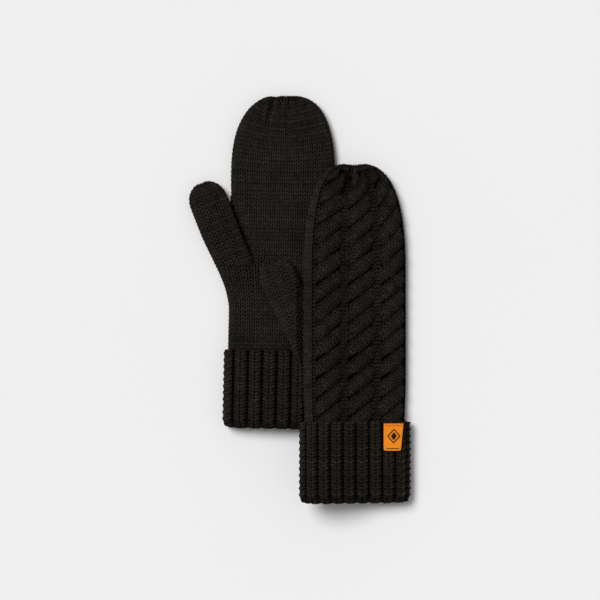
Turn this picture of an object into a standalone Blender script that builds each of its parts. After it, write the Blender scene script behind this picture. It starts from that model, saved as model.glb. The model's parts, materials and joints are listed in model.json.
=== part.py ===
"""A pair of knitted mittens with turned-up ribbed cuffs, lying flat, the right one over the left.

Metres, +Z up. The origin is at the middle of the pair's footprint, on the surface that it lies on;
+Y runs from the cuffs to the fingertips. Each mitten is modelled in its own frame, whose origin is
in the middle of the cuff's lower edge: the left one palm up, the right one back up.
"""
import math

import bmesh
import bpy
from mathutils import Matrix

# Hand and fingers, the same on both mittens
HAND_HALF_WIDTH = 0.0413
EDGE_RADIUS = 0.0055          # how far in the rounded long edges reach
KNIT_WALL = 0.0026            # one layer of the hand's knit
TIP_POWER = 2.8               # superellipse power of the fingertip's outline
FINGER_LENGTH = 0.0505        # fold line to fingertip
GATHER_RADIUS = 0.0032        # drawn-in yarn at a tip
GATHER_FLATNESS = 0.6         # its size along the finger over its size across

# Thumb
THUMB_RADIUS = 0.0145
THUMB_EDGE = 0.0058           # how far in the thumb's rounded edge reaches
THUMB_THICKNESS = 0.0125
THUMB_GATHER_RADIUS = 0.0024

# Cuff
CUFF_HALF_WIDTH = 0.0444
CUFF_EDGE_RADIUS = 0.008
CUFF_EDGE_HEIGHT = 0.016
CUFF_CROWN = 0.0035
RIB_WALL = 0.0028             # the turned-up layer
INNER_WALL = 0.0026           # the layer inside it
FOLD_HEIGHT = 0.003           # the folded lower edge, along Y

# Label on the right cuff
LABEL_WIDTH = 0.0155
LABEL_HEIGHT = 0.0224
LABEL_THICKNESS = 0.0009
LABEL_FROM_EDGE = 0.0142      # cuff's outer edge to the label's middle
LABEL_LEAN = math.radians(-4.0)
STITCH_HEIGHT = 0.0009
EMPTY_SIZE = 0.01

# Clearances
GAP = 0.0003                  # between knit pieces that meet
SLIDE_GAP = 0.0004            # between the turned-up layer and the one inside it
SWING_GAP = 0.0007            # round the thumb's base
FOLD_GAP = 0.0004             # across the fingers' fold line
REST_GAP = 0.0006             # between the right mitten and what it lies on

# How the right mitten comes down off the left one
SUPPORT_LENGTH = 0.0544       # run of the slope, across
CORNER_SHARE = 0.6            # how much of the crown's height the slope uses before a corner
CUFF_STEP_START = 0.004       # from the left cuff's top edge to where the level starts to fall
CUFF_STEP_LENGTH = 0.03
THUMB_STEP_END = 3.2          # thumb radii from its pivot to where the right thumb lies on the palm

# Fineness
ARC_STEPS = 6
PANEL_ACROSS = 10
PANEL_ALONG = 8
THUMB_ACROSS = 6
RIM_STEPS = 22
POCKET_STEPS = 48
POCKET_DEPTH = 0.12           # of the cutter for a thumb's place, well past the hand
OUTLINE_STEPS = 400
PANEL_END_REACH = 0.004       # half width of a finger panel's last row
ROW_STEP = 0.0012             # least distance between its rows
THUMB_SIDE_STEPS = 3
THUMB_TIP_STEPS = 10

CHARCOAL = (0.011, 0.0095, 0.008)
RIB_BLACK = (0.0115, 0.0092, 0.007)
ORANGE = (0.80, 0.24, 0.018)
THREAD = (0.66, 0.17, 0.012)


class Mitten:
    """The sizes and the place of one mitten."""

    def __init__(self, name, place, turn, hand_length, cuff_height, tip_length,
                 edge_height, crown, thumb_inset, thumb_rise, thumb_angle, thumb_length):
        self.name = name
        self.place = place
        self.turn = turn
        self.cuff_height = cuff_height
        self.tip = cuff_height + hand_length
        self.fold = self.tip - FINGER_LENGTH
        self.tip_length = tip_length
        self.edge_height = edge_height
        self.crown = crown
        self.thumb_place = (thumb_inset - HAND_HALF_WIDTH, cuff_height + thumb_rise)
        self.thumb_angle = thumb_angle
        self.thumb_length = thumb_length

    def half_width(self, y):
        """Half the hand's width at y, closing as a superellipse at the fingertip."""
        near = min(max(1.0 - (self.tip - y) / self.tip_length, 0.0), 1.0)
        return HAND_HALF_WIDTH * (1.0 - near ** TIP_POWER) ** (1.0 / TIP_POWER)

    def top_height(self, x, y):
        """Height of the upper panel's outer face, crowned between the rounded edges."""
        flat = max(self.half_width(y) - EDGE_RADIUS, 0.001)
        across = 1.0 - min(abs(x) / flat, 1.0) ** 2
        along = min(max((self.tip - EDGE_RADIUS - y) / FINGER_LENGTH, 0.0), 1.0)
        return self.edge_height + self.crown * across * (1.0 - (1.0 - along) ** 2)


LEFT = Mitten("left", (-0.0185, -0.1044, 0.0), math.radians(-1.18), hand_length=0.2041,
              cuff_height=0.064, tip_length=0.075, edge_height=0.011, crown=0.0025,
              thumb_inset=0.0087, thumb_rise=0.0582, thumb_angle=math.radians(22.5), thumb_length=0.067)
RIGHT = Mitten("right", (0.0430, -0.1636, 0.0), 0.0, hand_length=0.2072,
               cuff_height=0.0656, tip_length=0.095, edge_height=0.0135, crown=0.003,
               thumb_inset=0.0065, thumb_rise=0.0616, thumb_angle=math.radians(25.9), thumb_length=0.0622)

# What the right mitten lies on: the left hand's top, then the left cuff's top
HAND_SUPPORT = LEFT.edge_height + LEFT.crown + REST_GAP
CUFF_SUPPORT = CUFF_EDGE_HEIGHT + CUFF_CROWN + REST_GAP
LEFT_CUFF_TOP = LEFT.place[1] + LEFT.cuff_height


def slope_start(half_width, along, radius, height, level):
    """The last x at which the slope may start and still clear the left mitten's upper right corner.

    half_width and radius give the corner's place across the mitten, along its place up it.
    """
    corner = LEFT.place[0] + half_width - radius - along * math.sin(LEFT.turn)
    return corner - SUPPORT_LENGTH * CORNER_SHARE * math.sqrt(1.0 - height / level)


SUPPORT_START = max(
    slope_start(CUFF_HALF_WIDTH, LEFT.cuff_height, CUFF_EDGE_RADIUS, CUFF_EDGE_HEIGHT, CUFF_SUPPORT),
    slope_start(HAND_HALF_WIDTH, LEFT.fold, EDGE_RADIUS, LEFT.edge_height, HAND_SUPPORT))


def smooth_step(value, start, end):
    """0 before start, 1 after end, smooth between."""
    share = min(max((value - start) / (end - start), 0.0), 1.0)
    return share * share * (3.0 - 2.0 * share)


def support_height(x, y):
    """Height of what the right mitten lies on, at a world x and y."""
    step_start = LEFT_CUFF_TOP + CUFF_STEP_START
    step = smooth_step(y, step_start, step_start + CUFF_STEP_LENGTH)
    raised = CUFF_SUPPORT + (HAND_SUPPORT - CUFF_SUPPORT) * step
    return raised * (1.0 - smooth_step(x, SUPPORT_START, SUPPORT_START + SUPPORT_LENGTH))


def lay(mitten, mesh):
    """Lift the points of a right-mitten mesh, given in the mitten's frame, on to its support."""
    if mitten is not RIGHT:
        return
    for vertex in mesh.vertices:
        vertex.co.z += support_height(vertex.co.x + mitten.place[0], vertex.co.y + mitten.place[1])


def fabric(name, colour, roughness=0.95):
    """A matt yarn colour."""
    material = bpy.data.materials.new(name)
    material.use_nodes = True
    shader = material.node_tree.nodes["Principled BSDF"]
    shader.inputs["Base Color"].default_value = (*colour, 1.0)
    shader.inputs["Roughness"].default_value = roughness
    shader.inputs["Metallic"].default_value = 0.0
    return material


def empty(name, place, turn=0.0, parent=None):
    """An axis or a frame that pieces are parented to."""
    guide = bpy.data.objects.new(name, None)
    guide.empty_display_size = EMPTY_SIZE
    guide.location = place
    guide.rotation_euler = (0.0, 0.0, turn)
    guide.parent = parent
    PARTS.objects.link(guide)
    return guide


def walled(across, along, place, closed=False):
    """A closed wall between the faces place(u, v, 0) and place(u, v, 1).

    The outer face is a grid, extruded whole and its copy moved to the inner face;
    closed joins the u = 0 and u = 1 sides, as round a tube.
    """
    shape = bmesh.new()
    bmesh.ops.create_grid(shape, x_segments=across, y_segments=along, size=0.5)
    u_layer = shape.verts.layers.float.new("u")
    v_layer = shape.verts.layers.float.new("v")
    for vertex in shape.verts:
        vertex[u_layer] = vertex.co.x + 0.5
        vertex[v_layer] = vertex.co.y + 0.5
        vertex.co = place(vertex[u_layer], vertex[v_layer], 0.0)
    if closed:
        bmesh.ops.remove_doubles(shape, verts=shape.verts, dist=0.00002)
    copy = bmesh.ops.extrude_face_region(shape, geom=list(shape.faces), use_keep_orig=True)
    for vertex in copy["geom"]:
        if isinstance(vertex, bmesh.types.BMVert):
            vertex.co = place(vertex[u_layer], vertex[v_layer], 1.0)
    bmesh.ops.recalc_face_normals(shape, faces=shape.faces)
    mesh = bpy.data.meshes.new("wall")
    shape.to_mesh(mesh)
    shape.free()
    return mesh


def piece(name, mesh, colour, parent, offset=(0.0, 0.0, 0.0)):
    """A named sub-part whose mesh is in the mitten's frame, under a parent that stands at offset."""
    body = bpy.data.objects.new(name, mesh)
    mesh.name = name
    mesh.materials.clear()
    mesh.materials.append(fabric(name, colour))
    mesh.shade_smooth()
    mesh.set_sharp_from_angle(angle=math.radians(40.0))
    body.parent = parent
    body.location = (-offset[0], -offset[1], -offset[2])
    PARTS.objects.link(body)
    return body


def cut(body, cutter):
    """Take the cutter's shape out of a piece."""
    hole = body.modifiers.new("cut", "BOOLEAN")
    hole.operation = "DIFFERENCE"
    hole.solver = "EXACT"
    hole.object = cutter


def as_cutter(name, mesh, parent):
    """A guide that only cuts."""
    tool = bpy.data.objects.new(name, mesh)
    tool.parent = parent
    tool.hide_render = True
    tool.display_type = "WIRE"
    CUTTERS.objects.link(tool)
    return tool


# ---------------------------------------------------------------- the hand

def panel_height(mitten, x, y, upper, depth):
    """Height of a panel's outer face, depth 0, or its inner face, depth 1."""
    if upper:
        return mitten.top_height(x, y) - KNIT_WALL * depth
    return KNIT_WALL * depth


def panel(mitten, y_low, y_high, upper):
    """A hand panel between two heights, edge strip to edge strip."""
    def place(u, v, depth):
        y = y_low + (y_high - y_low) * v
        reach = mitten.half_width(y) - EDGE_RADIUS - GAP / 2.0
        x = (2.0 * u - 1.0) * reach
        return (x, y, panel_height(mitten, x, y, upper, depth))
    mesh = walled(PANEL_ACROSS, PANEL_ALONG, place)
    lay(mitten, mesh)
    return mesh


def edge_strip(mitten, y_low, y_high, side):
    """The rounded long edge that joins the two panels; side is -1 at the thumb, 1 away from it."""
    def place(u, v, depth):
        y = y_low + (y_high - y_low) * v
        angle = (0.5 - u) * math.pi
        reach = (EDGE_RADIUS - KNIT_WALL * depth) * math.cos(angle)
        middle = mitten.edge_height / 2.0
        half_height = middle - KNIT_WALL * depth
        x = mitten.half_width(y) - EDGE_RADIUS + reach
        return (side * x, y, middle + half_height * math.sin(angle))
    mesh = walled(ARC_STEPS, PANEL_ALONG, place)
    lay(mitten, mesh)
    return mesh


def thumb_pocket(mitten, parent):
    """The cutter for the place in the hand that the thumb's base turns in."""
    radius = (THUMB_RADIUS + SWING_GAP) / math.cos(math.pi / POCKET_STEPS)
    shape = bmesh.new()
    bmesh.ops.create_cone(shape, cap_ends=True, segments=POCKET_STEPS, radius1=radius,
                          radius2=radius, depth=POCKET_DEPTH)
    half_segment = Matrix.Rotation(math.pi / POCKET_STEPS, 3, "Z")
    bmesh.ops.rotate(shape, verts=shape.verts, matrix=half_segment)
    for vertex in shape.verts:
        if vertex.co.y > 0.0:
            vertex.co.y += mitten.thumb_length
    mesh = bpy.data.meshes.new("thumb_pocket")
    shape.to_mesh(mesh)
    shape.free()
    tool = as_cutter(mitten.name + "_thumb_pocket", mesh, parent)
    tool.location = (*mitten.thumb_place, 0.0)
    tool.rotation_euler = (0.0, 0.0, mitten.thumb_angle)
    return tool


def upper_and_lower(mitten):
    """The names of the panels that lie on top and below: the left palm and the right back are on top."""
    return ("palm", "back") if mitten is LEFT else ("back", "palm")


def make_hand(mitten, root):
    """The hand from the cuff to the fingers' fold line, open round the thumb's base."""
    name = mitten.name
    pocket = thumb_pocket(mitten, root)
    low = mitten.cuff_height + GAP
    high = mitten.fold - FOLD_GAP / 2.0
    top, bottom = upper_and_lower(mitten)
    cut(piece(f"{name}_{top}_panel", panel(mitten, low, high, True), CHARCOAL, root), pocket)
    cut(piece(f"{name}_{bottom}_panel", panel(mitten, low, high, False), CHARCOAL, root), pocket)
    piece(f"{name}_side_seam", edge_strip(mitten, low, high, 1.0), CHARCOAL, root)
    thumb_y = mitten.thumb_place[1]
    wrist = edge_strip(mitten, low, thumb_y, -1.0)
    cut(piece(f"{name}_wrist_edge", wrist, CHARCOAL, root), pocket)
    crotch_y = thumb_y + 2.0 * THUMB_RADIUS        # where the pocket has left this edge
    index = edge_strip(mitten, crotch_y, high, -1.0)
    cut(piece(f"{name}_index_edge", index, CHARCOAL, root), pocket)


# ---------------------------------------------------------------- the fingers

def finger_outline(mitten, inset):
    """Points from the fold line up the outer side to the middle of the tip, evenly spaced, inset."""
    low = mitten.fold + FOLD_GAP / 2.0
    line = []
    for step in range(OUTLINE_STEPS + 1):
        turn = math.pi / 2.0 * step / OUTLINE_STEPS
        y = low + (mitten.tip - low) * math.sin(turn)
        line.append((mitten.half_width(y), y))
    line[-1] = (0.0, mitten.tip)
    lengths = [0.0]
    for before, after in zip(line, line[1:]):
        lengths.append(lengths[-1] + math.dist(before, after))
    points = []
    for step in range(RIM_STEPS // 2 + 1):
        goal = lengths[-1] * step / (RIM_STEPS // 2)
        index = max(min(sum(1 for length in lengths if length < goal), OUTLINE_STEPS), 1)
        before, after = line[index - 1], line[index]
        share = (goal - lengths[index - 1]) / max(lengths[index] - lengths[index - 1], 1e-9)
        span = (after[0] - before[0], after[1] - before[1])
        size = math.hypot(*span)
        outward = (span[1] / size, -span[0] / size) if step < RIM_STEPS // 2 else (0.0, 1.0)
        x = before[0] + span[0] * share - outward[0] * inset
        y = before[1] + span[1] * share - outward[1] * inset
        points.append((x, y))
    points[0] = (points[0][0], low)
    points[-1] = (0.0, points[-1][1])
    return points


def finger_panel(mitten, upper):
    """A finger panel, whose rows shorten towards the tip."""
    rows = []
    for x, y in finger_outline(mitten, EDGE_RADIUS + GAP):
        if x > PANEL_END_REACH and (not rows or y - rows[-1][1] > ROW_STEP):
            rows.append((x, y))

    def place(u, v, depth):
        reach, y = rows[round(v * (len(rows) - 1))]
        x = (2.0 * u - 1.0) * reach
        return (x, y, panel_height(mitten, x, y, upper, depth))
    mesh = walled(PANEL_ACROSS, len(rows) - 1, place)
    lay(mitten, mesh)
    return mesh


def finger_rim(mitten):
    """The rounded edge round the fingertip, from fold line to fold line."""
    outer = finger_outline(mitten, 0.0)
    inner = finger_outline(mitten, EDGE_RADIUS)
    last = RIM_STEPS // 2

    def place(u, v, depth):
        station = round(v * RIM_STEPS)
        side = -1.0 if station < last else 1.0
        index = station if station <= last else RIM_STEPS - station
        angle = (u - 0.5) * math.pi
        share = (1.0 - KNIT_WALL * depth / EDGE_RADIUS) * math.cos(angle)
        x = inner[index][0] + (outer[index][0] - inner[index][0]) * share
        y = inner[index][1] + (outer[index][1] - inner[index][1]) * share
        middle = mitten.edge_height / 2.0
        half_height = middle - KNIT_WALL * depth
        return (side * x, y, middle + half_height * math.sin(angle))
    mesh = walled(ARC_STEPS, RIM_STEPS, place)
    lay(mitten, mesh)
    return mesh


def ball(name, radius):
    """A small rounded knot of drawn-in yarn."""
    shape = bmesh.new()
    bmesh.ops.create_icosphere(shape, subdivisions=2, radius=radius)
    bmesh.ops.scale(shape, verts=shape.verts, vec=(1.0, GATHER_FLATNESS, 1.0))
    mesh = bpy.data.meshes.new(name)
    shape.to_mesh(mesh)
    shape.free()
    return mesh


def make_fingers(mitten, root):
    """The finger pocket beyond the fold line, turning about the fold axis."""
    name = mitten.name
    hinge = fold_axis(mitten)
    axis = empty(name + "_finger_fold", hinge, parent=root)
    top, bottom = upper_and_lower(mitten)
    piece(f"{name}_finger_{top}", finger_panel(mitten, True), CHARCOAL, axis, hinge)
    piece(f"{name}_finger_{bottom}", finger_panel(mitten, False), CHARCOAL, axis, hinge)
    rim = piece(f"{name}_finger_rim", finger_rim(mitten), CHARCOAL, axis, hinge)
    middle = mitten.edge_height / 2.0
    if mitten is RIGHT:
        middle += support_height(mitten.place[0], mitten.place[1] + mitten.tip)
    centre = (0.0, mitten.tip - GATHER_RADIUS * GATHER_FLATNESS, middle)
    notch = as_cutter(name + "_tip_notch", ball("tip_notch", GATHER_RADIUS + GAP), root)
    notch.location = centre
    cut(rim, notch)
    knot = piece(name + "_tip_gather", ball("tip_gather", GATHER_RADIUS), CHARCOAL, axis, hinge)
    knot.location = [centre[i] - hinge[i] for i in range(3)]


def fold_axis(mitten):
    """The middle of the fingers' fold axis, in the mitten's frame, just above the upper panel.

    The right one's axis runs down by the support's height from one long edge to the other.
    """
    height = mitten.edge_height + mitten.crown + GAP
    if mitten is RIGHT:
        height += HAND_SUPPORT / 2.0
    return (0.0, mitten.fold, height)


# ---------------------------------------------------------------- the thumb

def thumb_lift(mitten, along):
    """Height of the thumb's underside: the right thumb comes down from the cuff's level to the palm's."""
    if mitten is LEFT:
        return 0.0
    share = smooth_step(along, THUMB_RADIUS, THUMB_STEP_END * THUMB_RADIUS)
    return CUFF_SUPPORT + (HAND_SUPPORT - CUFF_SUPPORT) * share


def raise_thumb(mitten, mesh):
    """Lift a thumb mesh, given in the thumb's own frame, on to what it lies on."""
    for vertex in mesh.vertices:
        vertex.co.z += thumb_lift(mitten, vertex.co.y)
    return mesh


def thumb_panel(mitten, upper):
    """A thumb panel, from the round base to the round tip, between the edges."""
    reach = THUMB_RADIUS - THUMB_EDGE - GAP

    def place(u, v, depth):
        x = (2.0 * u - 1.0) * reach
        base = -math.sqrt(THUMB_RADIUS ** 2 - x ** 2)
        tip = mitten.thumb_length + math.sqrt(max(reach ** 2 - x ** 2, 0.0))
        height = THUMB_THICKNESS - KNIT_WALL * depth if upper else KNIT_WALL * depth
        return (x, base + (tip - base) * v, height)
    return raise_thumb(mitten, walled(THUMB_ACROSS, PANEL_ALONG, place))


def thumb_rim(mitten):
    """The rounded edge up one side of the thumb, round its tip and down the other."""
    straight = THUMB_SIDE_STEPS
    turned = THUMB_TIP_STEPS
    last = 2 * straight + turned

    def path(station):
        if station < straight:
            return (-1.0, 0.0, mitten.thumb_length * station / straight)
        if station > straight + turned:
            return (1.0, 0.0, mitten.thumb_length * (last - station) / straight)
        turn = math.pi * (station - straight) / turned
        return (-math.cos(turn), math.sin(turn), mitten.thumb_length)

    def place(u, v, depth):
        across, ahead, along = path(round(v * last))
        angle = (u - 0.5) * math.pi
        reach = THUMB_RADIUS - THUMB_EDGE + (THUMB_EDGE - KNIT_WALL * depth) * math.cos(angle)
        middle = THUMB_THICKNESS / 2.0
        half_height = middle - KNIT_WALL * depth
        return (across * reach, along + ahead * reach, middle + half_height * math.sin(angle))
    return raise_thumb(mitten, walled(ARC_STEPS, last, place))


def make_thumb(mitten, root):
    """The thumb, turning in the plane of the palm about the middle of its round base."""
    name = mitten.name
    pivot = empty(name + "_thumb_swing", (*mitten.thumb_place, 0.0), mitten.thumb_angle, root)
    top, bottom = upper_and_lower(mitten)
    piece(f"{name}_thumb_{top}", thumb_panel(mitten, True), CHARCOAL, pivot)
    piece(f"{name}_thumb_{bottom}", thumb_panel(mitten, False), CHARCOAL, pivot)
    rim = piece(name + "_thumb_rim", thumb_rim(mitten), CHARCOAL, pivot)
    end = mitten.thumb_length + THUMB_RADIUS - THUMB_GATHER_RADIUS * GATHER_FLATNESS
    centre = (0.0, end, THUMB_THICKNESS / 2.0 + thumb_lift(mitten, end))
    notch = as_cutter(name + "_thumb_notch", ball("thumb_notch", THUMB_GATHER_RADIUS + GAP), pivot)
    notch.location = centre
    cut(rim, notch)
    knot = ball("thumb_gather", THUMB_GATHER_RADIUS)
    piece(name + "_thumb_gather", knot, CHARCOAL, pivot, [-value for value in centre])


# ---------------------------------------------------------------- the cuff

def cuff_top(x, depth):
    """Height of the cuff's upper wall at x, depth inside its outer face."""
    flat = CUFF_HALF_WIDTH - CUFF_EDGE_RADIUS
    return CUFF_EDGE_HEIGHT + CUFF_CROWN * (1.0 - min(abs(x) / flat, 1.0) ** 2) - depth


def cuff_section(depth):
    """The cuff's section at a depth inside its outer face: top to the right, round and back."""
    flat = CUFF_HALF_WIDTH - CUFF_EDGE_RADIUS
    steps = PANEL_ACROSS
    points = []
    for step in range(steps):
        x = flat * (2.0 * step / steps - 1.0)
        points.append((x, cuff_top(x, depth)))
    reach = CUFF_EDGE_RADIUS - depth
    half_height = CUFF_EDGE_HEIGHT / 2.0 - depth
    for side in (1.0, -1.0):
        for step in range(ARC_STEPS):
            angle = math.pi * (0.5 - step / ARC_STEPS) * side
            x = side * (flat + reach * math.cos(angle))
            points.append((x, CUFF_EDGE_HEIGHT / 2.0 + half_height * math.sin(angle)))
        if side > 0.0:
            points += [(flat * (1.0 - 2.0 * step / steps), depth) for step in range(steps)]
    return points


def cuff_tube(mitten, y_low, y_high, depth, wall):
    """A tube of the cuff's section between two heights."""
    outer = cuff_section(depth)
    inner = cuff_section(depth + wall)
    count = len(outer)

    def place(u, v, layer):
        points = outer if layer == 0.0 else inner
        x, z = points[round(u * count) % count]
        return (x, y_low + (y_high - y_low) * v, z)
    mesh = walled(count, 1, place, closed=True)
    lay(mitten, mesh)
    return mesh


def make_cuff(mitten, root):
    """The inner layer, and the turned-up layer with its folded lower edge, which slides off it."""
    name = mitten.name
    inside = RIB_WALL + SLIDE_GAP
    low = FOLD_HEIGHT + GAP
    inner = cuff_tube(mitten, low, mitten.cuff_height - GAP, inside, INNER_WALL)
    piece(name + "_inner_cuff", inner, RIB_BLACK, root)
    slide = empty(name + "_cuff_slide", (0.0, 0.0, 0.0), parent=root)
    outer = cuff_tube(mitten, low, mitten.cuff_height, 0.0, RIB_WALL)
    piece(name + "_turned_up_cuff", outer, RIB_BLACK, slide)
    fold = cuff_tube(mitten, 0.0, FOLD_HEIGHT, 0.0, inside + INNER_WALL)
    piece(name + "_cuff_fold", fold, RIB_BLACK, slide)
    return slide


# ---------------------------------------------------------------- the label

def label_part(y_low, y_high, wall):
    """A strip of label lying on the right cuff, leaning a little, between two heights."""
    middle = CUFF_HALF_WIDTH - LABEL_FROM_EDGE

    def place(u, v, depth):
        y = y_low + (y_high - y_low) * v
        x = middle + (u - 0.5) * LABEL_WIDTH + (RIGHT.cuff_height - y) * math.sin(LABEL_LEAN)
        return (x, y, cuff_top(x, 0.0) + GAP + wall * (1.0 - depth))
    mesh = walled(THUMB_ACROSS, 2, place)
    lay(RIGHT, mesh)
    return mesh


def label_axis():
    """The line that the label lifts about, along its sewn upper end, in the right mitten's frame."""
    x = CUFF_HALF_WIDTH - LABEL_FROM_EDGE
    top = cuff_top(x - LABEL_WIDTH / 2.0, 0.0) + GAP + LABEL_THICKNESS
    world_x = x - LABEL_WIDTH / 2.0 + RIGHT.place[0]
    lifted = top + support_height(world_x, RIGHT.place[1] + RIGHT.cuff_height)
    return (x, RIGHT.cuff_height - STITCH_HEIGHT - GAP, lifted + GAP)


def make_label(slide):
    """The woven label, sewn at its upper end, free at its lower end."""
    hinge = label_axis()
    axis = empty("right_label_lift", hinge, parent=slide)
    sewn = RIGHT.cuff_height - STITCH_HEIGHT
    flap = label_part(RIGHT.cuff_height - LABEL_HEIGHT, sewn - GAP, LABEL_THICKNESS)
    piece("right_label", flap, ORANGE, axis, hinge)
    stitches = label_part(sewn, RIGHT.cuff_height, LABEL_THICKNESS)
    piece("right_label_stitching", stitches, THREAD, slide)


def make_mitten(mitten):
    """One whole mitten under its own frame."""
    root = empty(mitten.name + "_mitten", mitten.place, mitten.turn)
    make_hand(mitten, root)
    make_fingers(mitten, root)
    make_thumb(mitten, root)
    return make_cuff(mitten, root)


for old in list(bpy.data.objects):
    bpy.data.objects.remove(old)
PARTS = bpy.data.collections.new("knitted_mittens")
CUTTERS = bpy.data.collections.new("cutters")
bpy.context.scene.collection.children.link(PARTS)
bpy.context.scene.collection.children.link(CUTTERS)
make_mitten(LEFT)
make_label(make_mitten(RIGHT))
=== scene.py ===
"""The looks of a pair of knitted mittens that lie flat, the right one over the left.

Every stitch is modelled. A course of yarn is a tube that follows the loops of stockinette, purl,
cable or fisherman's rib over the surface of its mitten, with a thin backing under it that is
painted black as the shade in the gaps between stitches. The yarn's colour also carries painted
shade where it lies in and painted highlight where it stands out. Each surface is a map
from (around, up), in metres of fabric, to a place in the pair's frame.
"""
import json
import math

import bpy
import numpy as np

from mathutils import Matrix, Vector


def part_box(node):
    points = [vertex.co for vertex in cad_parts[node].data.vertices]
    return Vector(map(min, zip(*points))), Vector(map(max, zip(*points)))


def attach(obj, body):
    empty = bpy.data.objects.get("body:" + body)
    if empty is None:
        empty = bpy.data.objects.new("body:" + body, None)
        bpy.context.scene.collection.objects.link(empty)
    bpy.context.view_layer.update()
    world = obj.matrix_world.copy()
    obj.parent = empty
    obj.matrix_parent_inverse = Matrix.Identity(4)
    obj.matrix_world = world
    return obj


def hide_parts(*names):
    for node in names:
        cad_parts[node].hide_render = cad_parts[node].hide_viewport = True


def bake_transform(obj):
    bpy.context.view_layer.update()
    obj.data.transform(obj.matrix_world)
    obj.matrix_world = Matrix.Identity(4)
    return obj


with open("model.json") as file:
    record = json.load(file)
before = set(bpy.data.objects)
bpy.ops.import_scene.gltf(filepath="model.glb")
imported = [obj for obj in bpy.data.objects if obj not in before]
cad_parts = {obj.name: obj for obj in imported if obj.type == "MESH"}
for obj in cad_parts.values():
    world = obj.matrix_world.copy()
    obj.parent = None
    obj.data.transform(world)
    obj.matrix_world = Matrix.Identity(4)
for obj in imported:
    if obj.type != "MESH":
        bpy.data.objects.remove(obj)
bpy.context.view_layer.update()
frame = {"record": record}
RECORD = frame["record"]
JOINTS = {joint["name"]: joint for joint in RECORD["behaviour"]["joints"]}
rng = np.random.default_rng(7)

# Yarn and stitches
YARN = 0.00098                # radius of the hand's yarn
STEPS = 10                    # points along one stitch
SIDES = 5                     # of a strand's section
OPENING = 0.19                # how far a loop's legs spread, over the wale's width
LOOP = 0.74                   # a loop's half height over the row's height
RELIEF = 0.00090              # how far legs stand out and heads lie in
INSET = 0.0018                # the knit's middle surface under the mitten's outer face
BACKING = 0.0015              # the backing under that middle surface
HAND_ROW = 0.0030             # from one row of a hand's knit to the next
PAINTED_DEPTH_SHADE = 0.95                # painted shade and highlight: how much darker the wool is painted where it lies in, and paler where it stands out
FACE_WALES = 24               # across one face of a hand
THUMB_WALES = 18

# Cables on the back of a hand, measured round from the thumb-side edge
PLAIN_WALES = 3
PLAIN_WIDTH = 0.0036
PURL_WALES = 3
PURL_WIDTH = 0.0023
ROPE_PITCH = 0.0260
FIRST_ROPE = 0.0241           # middle of the first rope
CROSSING = 0.0151             # from one crossing to the next
STRAND_SWING = 0.0062         # how far a strand's middle goes to each side
STRAND_WALE = 0.0037
STRAND_ROW = 0.0032
STRAND_RISE = 0.0016          # how far the upper strand stands out at a crossing
STRAND_ROUND = 0.0015
ROPES = 3

# Cuffs
RIB_ROW = 0.0052              # a full row: one strand and one tucked under it
RIB_TUCK = 0.0023             # how far above its row a tucked strand lies
RIB_YARN = 0.00112
RIB_KNIT_SHARE = 0.88         # of a rib's pitch that is its knit wale
RIB_RELIEF = 0.00075
RIB_OPENING = 0.365
RIB_ROUND = 0.0015            # how far a rib's middle stands out
RIB_GROOVE = 0.0010           # how far the purl bars lie under the ribs' feet
BUMP_RISE = 0.00035           # how much further a full row stands out than a tucked one
RIB_INSET = 0.0030
FOLD_RADIUS = 0.0033
FOLD_DEPTH = 0.0027           # deepest a strand lies where the cuff is folded
RIM_RADIUS = 0.0022
TOP_CORNER = 0.0040           # rounding of a cuff's outline
LOW_CORNER = 0.0085
CORNER_DEPTH = 0.42

# Sections
HAND_HALF_WIDTH = 0.0413
HAND_EDGE = 0.0080            # how far in a hand's rounded edge reaches
HAND_TIP_POWER = 2.8          # superellipse power of a tip's outline
UNDER_CUFF = 0.0040           # how far a hand's knit runs in under the cuff
BACKING_COLUMNS = 60
THUMB_HALF_WIDTH = 0.0149
THUMB_EDGE = 0.0068
THUMB_HEIGHT = 0.0122
THUMB_CROWN = 0.0010
THUMB_TIP_LENGTH = 0.0175
THUMB_TIP_POWER = 2.2
CUFF_HALF_WIDTH = 0.0448
CUFF_EDGE = 0.0085
CUFF_HEIGHT = 0.0160
CUFF_CROWN = 0.0035
INNER_DEPTH = 0.0042          # the inner layer under the turned-up one's face
TIP_REACH = 0.0110            # how far back from the tip the faces start to close
PLEAT = 0.0011                # spacing of the fine pleats at a tip, over a turn
DRAWN_IN = 0.22               # width of the drawn-in tip over the full width
LIMIT = 0.0004                # lowest height over the table


def centre(node):
    """The middle of a CAD node's box."""
    low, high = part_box(node)
    return (np.array(low) + np.array(high)) / 2.0


def smooth(value, start, end):
    """0 before start, 1 after end, smooth between."""
    share = np.clip((value - start) / (end - start), 0.0, 1.0)
    return share * share * (3.0 - 2.0 * share)


def turned(points, angle):
    """Points turned about the Z axis."""
    x, y, z = points[..., 0], points[..., 1], points[..., 2]
    c, s = math.cos(angle), math.sin(angle)
    return np.stack((x * c - y * s, x * s + y * c, z), axis=-1)


def from_line(points, start, end):
    """Distance of points from a line through start and end, positive on its left, in plan."""
    along = np.array(end) - np.array(start)
    along = along / np.linalg.norm(along)
    return (points[..., 1] - start[1]) * along[0] - (points[..., 0] - start[0]) * along[1]


def near_segment(points, start, end):
    """Distance of points from a segment, in plan, and how far along it the nearest point is."""
    along = np.array(end) - np.array(start)
    size = np.linalg.norm(along)
    share = ((points[..., 0] - start[0]) * along[0] + (points[..., 1] - start[1]) * along[1]) / size ** 2
    share = np.clip(share, 0.0, 1.0)
    gap_x = points[..., 0] - start[0] - along[0] * share
    gap_y = points[..., 1] - start[1] - along[1] * share
    return np.hypot(gap_x, gap_y), share


# ---------------------------------------------------------------- the surfaces

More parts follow.
